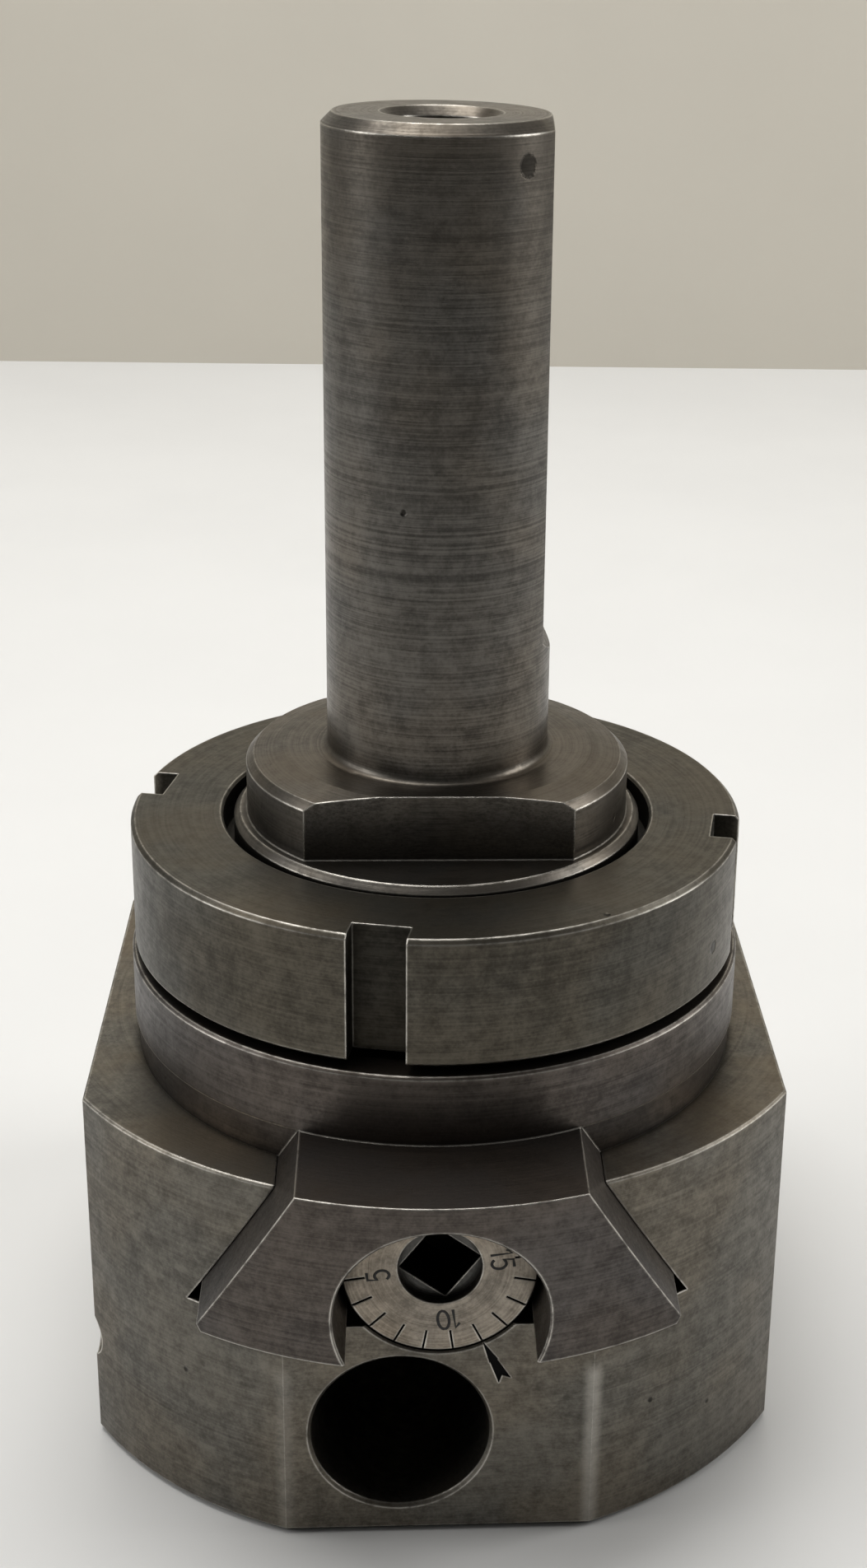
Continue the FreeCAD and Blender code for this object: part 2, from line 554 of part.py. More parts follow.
def make_screw_nut(doc):
    piece = Piece(doc, "screw_nut")
    block = piece.outline(piece.sketch("XZ", "nut_length - nut_front"),
                          rectangle("-nut_width / 2", NUT_FOOT, "nut_width / 2", NUT_TOP))
    piece.pad(block, "nut_length")
    thread = piece.circles(piece.sketch("XZ"), "screw_dia / 2 + thread_gap", [("0", SCREW_LEVEL)])
    piece.pocket(thread, "4 * nut_length", sides="Symmetric")
    heads = piece.circles(piece.sketch("XY", NUT_FOOT), "nut_head_dia / 2", nut_screw_places())
    piece.pocket(heads, "nut_head_height", flip=True)
    rods = piece.circles(piece.sketch("XY", NUT_FOOT), "nut_screw_dia / 2", nut_screw_places())
    piece.pocket(rods, f"{NUT_TOP} - {NUT_FOOT} + {MARGIN}", flip=True)
    return piece.body


def make_nut_screws(doc):
    seat = f"({NUT_FOOT} + nut_head_height)"
    screw = make_cap_screw(doc, "nut_screw_left", "nut_screw_dia", f"{NUT_TOP} - {seat} + nut_screw_reach",
                           "nut_head_dia", "nut_head_height", "0.75 * nut_screw_dia")
    place(screw, across=f"-{NUT_SCREW_SIDE}", along="nut_length / 2 - nut_front", up=seat)
    return mirrored_pair(doc, "nut_screws", screw)


# ---------------------------------------------------------------- tool block

def make_slide_block(doc):
    piece = Piece(doc, "slide_block", along="slide_offset")
    piece.pad(piece.circles(piece.sketch("XY"), "block_dia / 2", [("0", "0")]), "block_height")
    outside = f"block_dia / 2 + {MARGIN}"
    sides = piece.sketch("XY", "block_height")
    piece.outline(sides, rectangle(f"-({outside})", f"-({outside})", f"-{SIDE_FLAT}", outside))
    piece.outline(sides, rectangle(SIDE_FLAT, f"-({outside})", outside, outside))
    piece.pocket(sides, f"block_height + {MARGIN}")
    ends = piece.sketch("XY", "block_height")
    piece.outline(ends, rectangle(f"-({outside})", f"-({outside})", outside, DIAL_FRONT))
    piece.outline(ends, rectangle(f"-({outside})", f"-{DIAL_FRONT}", outside, outside))
    piece.pocket(ends, f"block_height + {MARGIN}")
    top = reading(doc, "block_height")
    piece.dress("Chamfer", "Size", "block_edge", lambda edge: edge.BoundBox.ZMax < 1e-3)
    piece.dress("Chamfer", "Size", "small_edge", lambda edge: edge.BoundBox.ZMin > top - 1e-3)
    cut_dovetail(piece)
    cut_dial_seat(piece)
    cut_tool_bores(piece, doc)
    cut_screw_holes(piece)
    cut_arrow(piece)
    return piece.body


def cut_dovetail(piece):
    over = f"(block_height + {MARGIN})"
    floor_half = f"({flank_half_width(GROOVE_FLOOR)} + flank_gap)"
    over_half = f"({flank_half_width(over)} + flank_gap)"
    groove = piece.outline(piece.sketch("XZ"), [
        (f"-{floor_half}", GROOVE_FLOOR), (floor_half, GROOVE_FLOOR),
        (over_half, over), (f"-{over_half}", over)])
    piece.pocket(groove, "2 * block_dia", sides="Symmetric")


def cut_dial_seat(piece):
    dial = piece.circles(piece.sketch("XZ", DIAL_FRONT), "dial_dia / 2 + dial_gap", [("0", SCREW_LEVEL)])
    piece.pocket(dial, "dial_thickness + washer_thickness")
    foot = piece.outline(piece.sketch("XZ", BRACKET_FRONT), rectangle(
        f"-{BRACKET_RADIUS}", f"{GROOVE_FLOOR} - bracket_foot", BRACKET_RADIUS, f"{GROOVE_FLOOR} + {MARGIN}"))
    piece.pocket(foot, "bracket_thickness")
    taps = piece.circles(piece.sketch("XZ", BRACKET_FRONT), "bracket_screw_dia / 2", bracket_screw_places())
    piece.pocket(taps, "bracket_head_height + bracket_screw_length")


def bracket_screw_places():
    return [(f"-{BRACKET_SCREW_SIDE}", BRACKET_SCREW_LEVEL), (BRACKET_SCREW_SIDE, BRACKET_SCREW_LEVEL)]


def cut_tool_bores(piece, doc):
    front = piece.circles(piece.sketch("XZ", DIAL_FRONT), "tool_bore_dia / 2",
                          [("-front_bore_side", "front_bore_height")])
    piece.pocket(front, "front_bore_depth")
    base = piece.circles(piece.sketch("XY"), "tool_bore_dia / 2", [("0", "0")])
    piece.pocket(base, "base_bore_depth", flip=True)
    bore_reach = reading(doc, "tool_bore_dia")
    front_face = reading(doc, "block_dia") / 2 - reading(doc, "end_flat_cut")

    def is_in_front(edge):
        box = edge.BoundBox
        flat = box.YLength < 1e-3 and abs(box.YMin + front_face) < 1e-3
        return flat and edge.Curve.TypeId == "Part::GeomCircle"

    def is_mouth(edge):
        across = abs(edge.BoundBox.XLength - bore_reach) < 1e-3
        return across and (abs(edge.BoundBox.ZMax) < 1e-3 or is_in_front(edge))

    piece.dress("Chamfer", "Size", "small_edge", lambda edge: is_in_front(edge) and not is_mouth(edge))
    piece.dress("Chamfer", "Size", "bore_edge", is_mouth)


def cut_screw_holes(piece):
    """Tapped holes from the side flats, for the flank screws and the tool clamping screws."""
    thread = "flank_screw_dia / 2 + thread_gap"
    rows = [(f"{step} * flank_screw_spacing", FLANK_LEVEL) for step in (-1, 0, 1)]
    flank = piece.circles(piece.sketch("YZ", f"-{SIDE_FLAT}"), thread, rows)
    piece.pocket(flank, f"{SIDE_FLAT} - {FLANK_HOLE_END}", flip=True)
    shoes = piece.circles(piece.sketch("YZ", f"-{FLANK_HOLE_END}"), "shoe_dia / 2 + shoe_gap", rows)
    piece.pocket(shoes, f"{FLANK_HOLE_END} - dovetail_top / 2", flip=True)
    clamp = "clamp_screw_dia / 2 + thread_gap"
    front = piece.circles(piece.sketch("YZ", f"-{SIDE_FLAT}"), clamp,
                          [(station, "front_bore_height") for _, station in FRONT_CLAMPS])
    piece.pocket(front, f"{SIDE_FLAT} - front_bore_side", flip=True)
    base = piece.circles(piece.sketch("YZ", SIDE_FLAT), clamp, [("0", level) for _, level in BASE_CLAMPS])
    piece.pocket(base, SIDE_FLAT)


def cut_arrow(piece):
    """Index arrow on the front flat: a dart from the dial's edge, pointing at the dial's axis."""
    sketch = piece.sketch("XZ", DIAL_FRONT, up=SCREW_LEVEL, turn="arrow_angle")
    tip = "-dial_dia / 2"
    waist, tail = f"{tip} - arrow_length / 2", f"{tip} - arrow_length"
    head, quill = "arrow_width * 0.36", "arrow_width * 0.36 - arrow_step"
    piece.outline(sketch, [
        ("0", tip), (head, waist), (quill, waist), ("arrow_width / 2", tail),
        ("0", f"{tail} + arrow_width / 2"), ("-arrow_width / 2", tail), (f"-({quill})", waist),
        (f"-{head}", waist)])
    piece.pocket(sketch, "line_depth")


# ---------------------------------------------------------------- feed screw and what it carries

def screw_piece(doc, label, turned=True):
    """A piece whose own Y axis is the feed screw's axis, with its origin at the block's centre."""
    if not turned:
        return Piece(doc, label, along="slide_offset", up=SCREW_LEVEL)
    turn = "arrow_angle - (dial_reading - dial_lines / 2) * 360 / dial_lines"
    return Piece(doc, label, along="slide_offset", up=SCREW_LEVEL, axis=Vector(0, -1, 0), angle=turn)


def make_lead_screw(doc):
    piece = screw_piece(doc, "lead_screw")
    profile = piece.outline(piece.sketch("YZ"), [
        (JOURNAL_FRONT, "0"), (JOURNAL_FRONT, JOURNAL_RADIUS), (THRUST_FRONT, JOURNAL_RADIUS),
        (THRUST_FRONT, THRUST_RADIUS), (THRUST_BACK, THRUST_RADIUS), (THRUST_BACK, "screw_dia / 2"),
        (THREAD_END, "screw_dia / 2"), (THREAD_END, "0")])
    piece.turned("Revolution", profile, "H_Axis")
    socket = piece.outline(piece.sketch("XZ", JOURNAL_FRONT), [
        ("0", f"-{SOCKET_CORNER}"), (SOCKET_CORNER, "0"), ("0", SOCKET_CORNER), (f"-{SOCKET_CORNER}", "0")])
    piece.pocket(socket, "socket_depth")
    tail_end = piece.sketch("XZ", f"{THREAD_END} - tail_screw_length")
    tail = piece.circles(tail_end, "tail_screw_dia / 2", [("0", "0")])
    piece.pocket(tail, f"tail_screw_length + {MARGIN}")
    return piece.body


def make_dial(doc):
    piece = screw_piece(doc, "dial")
    profile = piece.outline(piece.sketch("YZ"), [
        (DIAL_FRONT, DIAL_BORE_RADIUS), (DIAL_FRONT, "dial_dia / 2 - dial_edge"),
        (f"{DIAL_FRONT} + dial_edge", "dial_dia / 2"), (DIAL_BACK, "dial_dia / 2"),
        (DIAL_BACK, JOURNAL_RADIUS), (JOURNAL_FRONT, JOURNAL_RADIUS), (JOURNAL_FRONT, DIAL_BORE_RADIUS)])
    piece.turned("Revolution", profile, "H_Axis")
    grub = piece.circles(piece.sketch("XY"), "grub_dia / 2", [("0", f"({JOURNAL_FRONT} + {DIAL_BACK}) / 2")])
    piece.pocket(grub, "dial_dia", flip=True)
    line = piece.outline(piece.sketch("XZ", DIAL_FRONT), rectangle(
        "-line_width / 2", "dial_dia / 2 - line_length", "line_width / 2", f"dial_dia / 2 + {MARGIN}"))
    cut = piece.pocket(line, "line_depth")
    piece.pattern(cut, "Y_Axis", "dial_lines")
    return piece.body


def make_dial_grub(doc):
    piece = screw_piece(doc, "dial_grub_screw")
    middle = f"({JOURNAL_FRONT} + {DIAL_BACK}) / 2"
    rod = piece.circles(piece.sketch("XY", JOURNAL_RADIUS), "grub_dia / 2", [("0", middle)])
    piece.pad(rod, f"dial_dia / 2 - {JOURNAL_RADIUS} - dial_edge")
    return piece.body


def make_bracket(doc):
    piece = screw_piece(doc, "screw_bracket", turned=False)
    lower = piece.outline(piece.sketch("XZ", BRACKET_BACK), rectangle(
        f"-{BRACKET_RADIUS}", "-(screw_rise + floor_gap + bracket_foot)", BRACKET_RADIUS, "0"))
    piece.pad(lower, "bracket_thickness")
    upper = piece.circles(piece.sketch("XZ", BRACKET_BACK), BRACKET_RADIUS, [("0", "0")])
    piece.pad(upper, "bracket_thickness")
    front = piece.sketch("XZ", BRACKET_FRONT)
    journal = piece.circles(front, f"{JOURNAL_RADIUS} + journal_gap", [("0", "0")])
    piece.pocket(journal, f"bracket_thickness + {MARGIN}")
    places = [(side, f"{level} - {SCREW_LEVEL}") for side, level in bracket_screw_places()]
    heads = piece.circles(piece.sketch("XZ", BRACKET_FRONT), "bracket_head_dia / 2", places)
    piece.pocket(heads, "bracket_head_height")
    rods = piece.circles(piece.sketch("XZ", BRACKET_FRONT), "bracket_screw_dia / 2", places)
    piece.pocket(rods, f"bracket_thickness + {MARGIN}")
    return piece.body


def make_bracket_screws(doc):
    screw = make_cap_screw(doc, "bracket_screw_left", "bracket_screw_dia", "bracket_screw_length",
                           "bracket_head_dia", "bracket_head_height", "0.8 * bracket_screw_dia")
    screw.Placement = FreeCAD.Placement(Vector(), Rotation(Vector(1, 0, 0), -90))
    place(screw, across=f"-{BRACKET_SCREW_SIDE}",
          along=f"slide_offset + {BRACKET_FRONT} + bracket_head_height", up=BRACKET_SCREW_LEVEL)
    return mirrored_pair(doc, "bracket_screws", screw)


def make_washer(doc, label, front, thickness, outside, inside):
    """Plain ring on the feed screw's axis."""
    piece = screw_piece(doc, label, turned=False)
    back = f"({front} + {thickness})"
    profile = piece.outline(piece.sketch("YZ"), rectangle(front, inside, back, outside))
    piece.turned("Revolution", profile, "H_Axis")
    return piece.body


def make_tail_screw(doc):
    screw = make_cap_screw(doc, "tail_screw", "tail_screw_dia", "tail_screw_length + tail_thickness",
                           "tail_head_dia", "tail_head_height", "0.6 * tail_screw_dia")
    screw.Placement = FreeCAD.Placement(Vector(), Rotation(Vector(1, 0, 0), 90))
    place(screw, along=f"slide_offset + {THREAD_END} + tail_thickness", up=SCREW_LEVEL)
    return screw


# ---------------------------------------------------------------- screws and shoes in the block

def make_set_screw(doc, label, diameter, length, side, tip, station, level):
    """Socket set screw whose tip points at the block's middle; side is -1 for left, 1 for right."""
    piece = Piece(doc, label)
    piece.body.Placement = FreeCAD.Placement(Vector(), Rotation(Vector(0, 1, 0), 90 * side))
    place(piece.body, across=tip, along=f"slide_offset + ({station})", up=level)
    radius = f"({diameter}) / 2"
    profile = piece.outline(piece.sketch("XZ"), [
        ("0", "0"), (f"0.7 * {radius}", "0"), (radius, f"0.3 * {radius}"),
        (radius, f"{length} - 0.2 * {radius}"), (f"0.8 * {radius}", length), ("0", length)])
    piece.turned("Revolution", profile, "V_Axis")
    corner = "key_size / 2 / cos(30)"
    corners = [(f"{corner} * cos({60 * step})", f"{corner} * sin({60 * step})") for step in range(6)]
    corners[0], corners[3] = (corner, "0"), (f"-{corner}", "0")
    socket = piece.outline(piece.sketch("XY", length), corners)
    piece.pocket(socket, "key_size")
    return piece.body


def make_flank_shoe(doc, label, station):
    """Brass plug whose inner end lies along the dovetail's flank."""
    piece = Piece(doc, label, along=f"slide_offset + ({station})")
    rod = piece.circles(piece.sketch("YZ", f"-{FLANK_HOLE_END}"), "shoe_dia / 2", [("0", FLANK_LEVEL)])
    piece.pad(rod, f"{FLANK_HOLE_END} - dovetail_top / 2")
    low, high = f"({FLANK_LEVEL} - shoe_dia)", f"({FLANK_LEVEL} + shoe_dia)"
    inner = piece.outline(piece.sketch("XZ"), [
        ("0", low), ("0", high), (f"-({flank_half_width(high)} + shoe_gap)", high),
        (f"-({flank_half_width(low)} + shoe_gap)", low)])
    piece.pocket(inner, "4 * shoe_dia", sides="Symmetric")
    return piece.body


def make_block_screws(doc):
    """Every screw and shoe that sits in the block's side flats."""
    made = []
    names = ("front", "middle", "rear")
    for step, name in zip((-1, 0, 1), names):
        station = f"{step} * flank_screw_spacing"
        made.append(make_set_screw(doc, f"flank_screw_{name}", "flank_screw_dia", "flank_screw_length", -1,
                                   f"-{FLANK_HOLE_END}", station, FLANK_LEVEL))
        made.append(make_flank_shoe(doc, f"flank_shoe_{name}", station))
    for name, station in FRONT_CLAMPS:
        made.append(make_set_screw(doc, f"front_bore_screw_{name}", "clamp_screw_dia",
                                   f"({SIDE_FLAT} - front_clamp_sunk - {FRONT_CLAMP_TIP})", -1,
                                   f"-{FRONT_CLAMP_TIP}", station, "front_bore_height"))
    for name, level in BASE_CLAMPS:
        made.append(make_set_screw(doc, f"base_bore_screw_{name}", "clamp_screw_dia",
                                   f"({SIDE_FLAT} - base_clamp_sunk - {BASE_CLAMP_TIP})", 1,
                                   BASE_CLAMP_TIP, "0", level))
    return made


# ---------------------------------------------------------------- whole model

def make_nodes(doc):
    washer_inside = f"{JOURNAL_RADIUS} + thread_gap"
    return [
        make_shank(doc), make_ring_nut(doc), make_head_body(doc), make_drive_pins(doc),
        make_screw_nut(doc), make_nut_screws(doc),
        make_slide_block(doc), make_lead_screw(doc), make_dial(doc), make_dial_grub(doc),
        make_bracket(doc), make_bracket_screws(doc),
        make_washer(doc, "front_thrust_washer", DIAL_BACK, "washer_thickness", "front_washer_dia / 2",
                    washer_inside),
        make_washer(doc, "rear_thrust_washer", BRACKET_BACK, "washer_thickness", THRUST_RADIUS,
                    washer_inside),
        make_washer(doc, "tail_washer", THREAD_END, "tail_thickness", "tail_dia / 2",
                    "tail_screw_dia / 2"),
        make_tail_screw(doc),
    ] + make_block_screws(doc)


def check(doc, nodes):
    """Stop if a feature failed, cut nothing, or left a sub-part without a valid solid."""
    for item in doc.Objects:
        if "Invalid" in item.State or "Error" in item.State:
            raise RuntimeError(f"{item.Name} failed: {item.State}")
        if item.isDerivedFrom("PartDesign::Pocket") or item.isDerivedFrom("PartDesign::Groove"):
            if item.Shape.Volume > item.BaseFeature.Shape.Volume - 1e-3:
                raise RuntimeError(f"{item.Name} cuts nothing")
    for node in nodes:
        if node.Shape.isNull() or not node.Shape.isValid() or not node.Shape.Solids:
            raise RuntimeError(f"{node.Label} has no valid solid")


def main():
    doc = FreeCAD.newDocument("boring_head")
    make_sheet(doc)
    nodes = make_nodes(doc)
    doc.recompute()
    check(doc, nodes)
    os.makedirs("parts", exist_ok=True)
    for node in nodes:
        node.Shape.exportStep(f"parts/{node.Label}.step")
        print(node.Label, len(node.Shape.Solids), round(node.Shape.Volume, 1))


main()
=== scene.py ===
"""Looks of the boring head: worn steel, the dial's numbers, soft studio light and the camera.

Metres, in the row's frame: +Z up the spindle axis from the block's bottom, -Y towards the dial.
"""
import math
import bpy
from mathutils import Matrix, Vector


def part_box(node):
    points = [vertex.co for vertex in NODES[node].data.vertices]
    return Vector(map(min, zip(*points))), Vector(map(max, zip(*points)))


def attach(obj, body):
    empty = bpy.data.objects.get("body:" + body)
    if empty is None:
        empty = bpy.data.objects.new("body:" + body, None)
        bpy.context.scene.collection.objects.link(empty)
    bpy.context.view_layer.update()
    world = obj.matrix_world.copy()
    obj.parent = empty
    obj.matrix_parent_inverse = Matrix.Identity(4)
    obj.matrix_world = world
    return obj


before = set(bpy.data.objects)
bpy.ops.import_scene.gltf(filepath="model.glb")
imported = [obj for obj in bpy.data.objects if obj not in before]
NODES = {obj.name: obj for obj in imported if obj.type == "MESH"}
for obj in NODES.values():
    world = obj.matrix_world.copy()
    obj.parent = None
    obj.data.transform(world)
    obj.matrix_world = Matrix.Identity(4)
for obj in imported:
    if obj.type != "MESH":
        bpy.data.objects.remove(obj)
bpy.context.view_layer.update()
MM = 0.001


# ---------------------------------------------------------------- node graphs

class Graph:
    """Short names for building a material out of shader nodes."""

    def __init__(self, name):
        self.material = bpy.data.materials.new(name)
        self.material.use_nodes = True
        self.tree = self.material.node_tree
        self.tree.nodes.clear()
        self.shader = self.add("ShaderNodeBsdfPrincipled")
        output = self.add("ShaderNodeOutputMaterial")
        self.tree.links.new(self.shader.outputs[0], output.inputs["Surface"])
        self.place = self.add("ShaderNodeTexCoord").outputs["Object"]

    def add(self, kind, **settings):
        node = self.tree.nodes.new(kind)
        for name, value in settings.items():
            setattr(node, name, value)
        return node

    def feed(self, socket, value):
        """Link a socket to a socket, or set it to a plain value."""
        if isinstance(value, bpy.types.NodeSocket):
            self.tree.links.new(value, socket)
        else:
            socket.default_value = value

    def math(self, operation, first, second=0.0):
        node = self.add("ShaderNodeMath", operation=operation)
        self.feed(node.inputs[0], first)
        self.feed(node.inputs[1], second)
        return node.outputs[0]

    def times(self, first, second):
        return self.math("MULTIPLY", first, second)

    def plus(self, first, second):
        return self.math("ADD", first, second)

    def larger(self, first, second):
        return self.math("MAXIMUM", first, second)

    def radius(self, first, second):
        """Distance from an axis, given the two coordinates across it."""
        return self.math("SQRT", self.plus(self.times(first, first), self.times(second, second)))

    def axes(self, vector):
        """The x, y and z of a vector."""
        node = self.add("ShaderNodeSeparateXYZ")
        self.feed(node.inputs[0], vector)
        return node.outputs[:]

    def vector(self, x, y, z):
        node = self.add("ShaderNodeCombineXYZ")
        for socket, value in zip(node.inputs, (x, y, z)):
            self.feed(socket, value)
        return node.outputs[0]

    def noise(self, vector, size, detail=3.0, rough=0.55):
        """Noise from 0 to 1 whose lumps are about that size in metres."""
        node = self.add("ShaderNodeTexNoise")
        self.feed(node.inputs["Vector"], vector)
        node.inputs["Scale"].default_value = 1.0 / size
        node.inputs["Detail"].default_value = detail
        node.inputs["Roughness"].default_value = rough
        return node.outputs[0]

    def spots(self, vector, size):
        """Distance from the nearest of many scattered points, 0 at the point."""
        node = self.add("ShaderNodeTexVoronoi")
        self.feed(node.inputs["Vector"], vector)
        node.inputs["Scale"].default_value = 1.0 / size
        return node.outputs["Distance"]

    def band(self, value, low, high, start=0.0, end=1.0):
        """Map low..high smoothly to start..end."""
        node = self.add("ShaderNodeMapRange", interpolation_type="SMOOTHSTEP")
        numbers = {"Value": value, "From Min": low, "From Max": high, "To Min": start, "To Max": end}
        for name, number in numbers.items():
            self.feed(node.inputs[name], number)
        return node.outputs[0]

    def mix(self, share, first, second, blend="MIX"):
        """Blend that share of the second colour into the first."""
        node = self.add("ShaderNodeMix", data_type="RGBA", blend_type=blend)
        self.feed(node.inputs[0], share)
        self.feed(node.inputs[6], first)
        self.feed(node.inputs[7], second)
        return node.outputs[2]

    def distance(self, vector, point):
        node = self.add("ShaderNodeVectorMath", operation="DISTANCE")
        self.feed(node.inputs[0], vector)
        node.inputs[1].default_value = point
        return node.outputs["Value"]

    def set(self, name, value):
        self.feed(self.shader.inputs[name], value)

    def bump(self, layers, normal=None):
        """Surface relief from (height, depth in metres) layers, on top of a normal."""
        for height, depth in layers:
            node = self.add("ShaderNodeBump")
            node.inputs["Strength"].default_value = 1.0
            node.inputs["Distance"].default_value = depth
            self.feed(node.inputs["Height"], height)
            if normal is not None:
                self.feed(node.inputs["Normal"], normal)
            normal = node.outputs[0]
        self.set("Normal", normal)


def rgb(red, green, blue):
    """A display colour, 0 to 255, as linear light."""
    return tuple((channel / 255) ** 2.2 for channel in (red, green, blue)) + (1.0,)


# ---------------------------------------------------------------- worn steel

# linear colours; each metal's tint multiplies the first three
DARK, LIGHT, BLOOM = (0.085, 0.082, 0.076), (0.200, 0.194, 0.180), (0.150, 0.126, 0.094)
# BRIGHT is worn bare metal and also painted highlight; the darkest colour is for real pits and for painted
# shade in corners, holes and slots
BRIGHT, DARK_PITS_AND_SHADE, ENGRAVED = (0.72, 0.69, 0.63, 1.0), (0.012, 0.011, 0.009, 1.0), (0.006, 0.006, 0.006, 1.0)
COOL = (0.84, 0.95, 1.10, 1.0)
MOST_REFLECTED = 0.95
TINT = {
    "shank": (0.78, 0.72, 0.66),
    "ring": (0.57, 0.53, 0.46),
    "body": (0.6, 0.54, 0.52),
    "block": (1.01, 0.93, 0.82),
    "dial": (1.88, 1.64, 1.39),
    "hard": (0.5, 0.48, 0.46),
    "oxide": (0.35, 0.35, 0.36),
    "bronze": (3.2, 2.3, 1.2),
}
PATCH_SIZE, BLOTCH_SIZE, SPECKLE_SIZE = 18 * MM, 2.6 * MM, 0.5 * MM
PATCH_SHARE, BLOTCH_SHARE, SPECKLE_SHARE = 0.16, 0.34, 0.15
TONE_SPREAD = 0.13
MARK_DEPTH, SPECKLE_DEPTH, BLOTCH_DEPTH, PIT_DEPTH = 0.02 * MM, 0.008 * MM, 0.02 * MM, 0.15 * MM
EDGE_WIDTH, LINE_DEPTH = 0.4 * MM, 0.2 * MM
CORNER_REACH, HOLLOW_REACH = 2.0 * MM, 16 * MM


def tinted(colour, tint):
    return tuple(min(channel * share, MOST_REFLECTED) for channel, share in zip(colour, tint)) + (1.0,)


def tool_marks(graph, grain, axis, axis_point):
    """Marks of the tool, a grain apart: rings about the axis, on the ends and the sides alike."""
    shift = graph.add("ShaderNodeVectorMath", operation="SUBTRACT")
    graph.feed(shift.inputs[0], graph.place)
    shift.inputs[1].default_value = axis_point
    x, y, z = graph.axes(shift.outputs[0])
    across, along = (y, z) if axis == "Z" else (z, y)
    drift = graph.times(graph.noise(graph.place, 14 * MM, 1.0), 2.5)
    outward = graph.times(graph.radius(x, across), 1 / grain)
    rings = graph.vector(outward, graph.times(along, 1 / grain), drift)
    return graph.noise(rings, 1.0, 3.0, 0.7)


def worn_edges(graph):
    """1 on edges, from how far a rounded normal turns away from the face's, for worn metal and painted
    highlight; and that rounded normal.
    """
    bevel = graph.add("ShaderNodeBevel", samples=6)
    bevel.inputs["Radius"].default_value = EDGE_WIDTH
    geometry = graph.add("ShaderNodeNewGeometry")
    dot = graph.add("ShaderNodeVectorMath", operation="DOT_PRODUCT")
    graph.feed(dot.inputs[0], bevel.outputs[0])
    graph.feed(dot.inputs[1], geometry.outputs["Normal"])
    return graph.band(dot.outputs["Value"], 0.998, 0.93), bevel.outputs[0]


def crevice_mask(graph, reach, open_share, shut_share):
    """1 where the share of open sky within reach is down to shut_share, 0 from open_share up."""
    shade = graph.add("ShaderNodeAmbientOcclusion", samples=8)
    shade.inputs["Distance"].default_value = reach
    return graph.band(shade.outputs["AO"], open_share, shut_share)


def engraved_mask(graph, normal, face):
    """1 on the floors of lines cut into a front face at that Y."""
    y = graph.axes(graph.place)[1]
    below = graph.band(y, face + 0.4 * LINE_DEPTH, face + 0.7 * LINE_DEPTH)
    above = graph.band(y, face + 1.8 * LINE_DEPTH, face + 1.4 * LINE_DEPTH)
    front = graph.band(graph.axes(normal)[1], -0.96, -0.99)
    return graph.times(graph.times(below, above), front)


def slot_mask(graph, normal, outside):
    """1 on upright faces sunk below a turned outside of that radius: the floors and sides of its slots."""
    x, y, _ = graph.axes(graph.place)
    sunk = graph.band(graph.radius(x, y), outside - 0.3 * MM, outside - 1.5 * MM)
    upright = graph.band(graph.math("ABSOLUTE", graph.axes(normal)[2]), 0.4, 0.1)
    return graph.times(sunk, upright)


def rubbed_mask(graph, normal, side, share):
    """A painted highlight: a soft light streak down a front face, at the corner of the front flat at that X.
    """
    x, _, z = graph.axes(graph.place)
    across = graph.math("ABSOLUTE", graph.math("SUBTRACT", x, side))
    front = graph.times(graph.band(graph.axes(normal)[1], -0.8, -0.9), graph.band(z, 29 * MM, 26 * MM))
    return graph.times(graph.times(graph.band(across, 1.8 * MM, 0.2 * MM), front), share)


def patina(graph, tint, tone, patches, upward):
    """Steel from dark to light by tone, with cool patches and a brown bloom, strongest on top faces."""
    colour = graph.mix(tone, tinted(DARK, tint), tinted(LIGHT, tint))
    cool = graph.band(graph.noise(graph.place, 26 * MM, 2.0), 0.42, 0.62)
    colour = graph.mix(graph.times(cool, 0.45), colour, COOL, blend="MULTIPLY")
    bloom = graph.times(graph.band(patches, 0.42, 0.62), graph.band(upward, 0.0, 1.0, 0.08, 0.4))
    return graph.mix(bloom, colour, tinted(BLOOM, tint))


def pit_mask(graph, blotches, dents):
    """1 in small scattered pits, and in ragged dark spots at chosen places."""
    pits = graph.band(graph.spots(graph.place, 6.5 * MM), 0.09, 0.03)
    pits = graph.times(pits, graph.band(graph.noise(graph.place, 8 * MM, 1.0), 0.54, 0.62))
    for x, y, z, radius in dents:
        ragged = graph.plus(graph.distance(graph.place, (x, y, z)), graph.times(blotches, radius))
        pits = graph.larger(pits, graph.band(ragged, 1.5 * radius, 1.2 * radius))
    return pits


def grime_mask(graph, normal, blotches, slotted_radius):
    """Painted shade: 1 in corners, deep holes and the slots of a turned outside, where shade falls."""
    corners = crevice_mask(graph, CORNER_REACH, 0.9, 0.3)
    painted_shade = graph.times(corners, graph.band(blotches, 0.25, 0.6, 0.75, 1.0))
    painted_shade = graph.larger(painted_shade, crevice_mask(graph, HOLLOW_REACH, 0.45, 0.12))
    if slotted_radius is not None:
        painted_shade = graph.larger(painted_shade, graph.times(slot_mask(graph, normal, slotted_radius), 0.65))
    return painted_shade


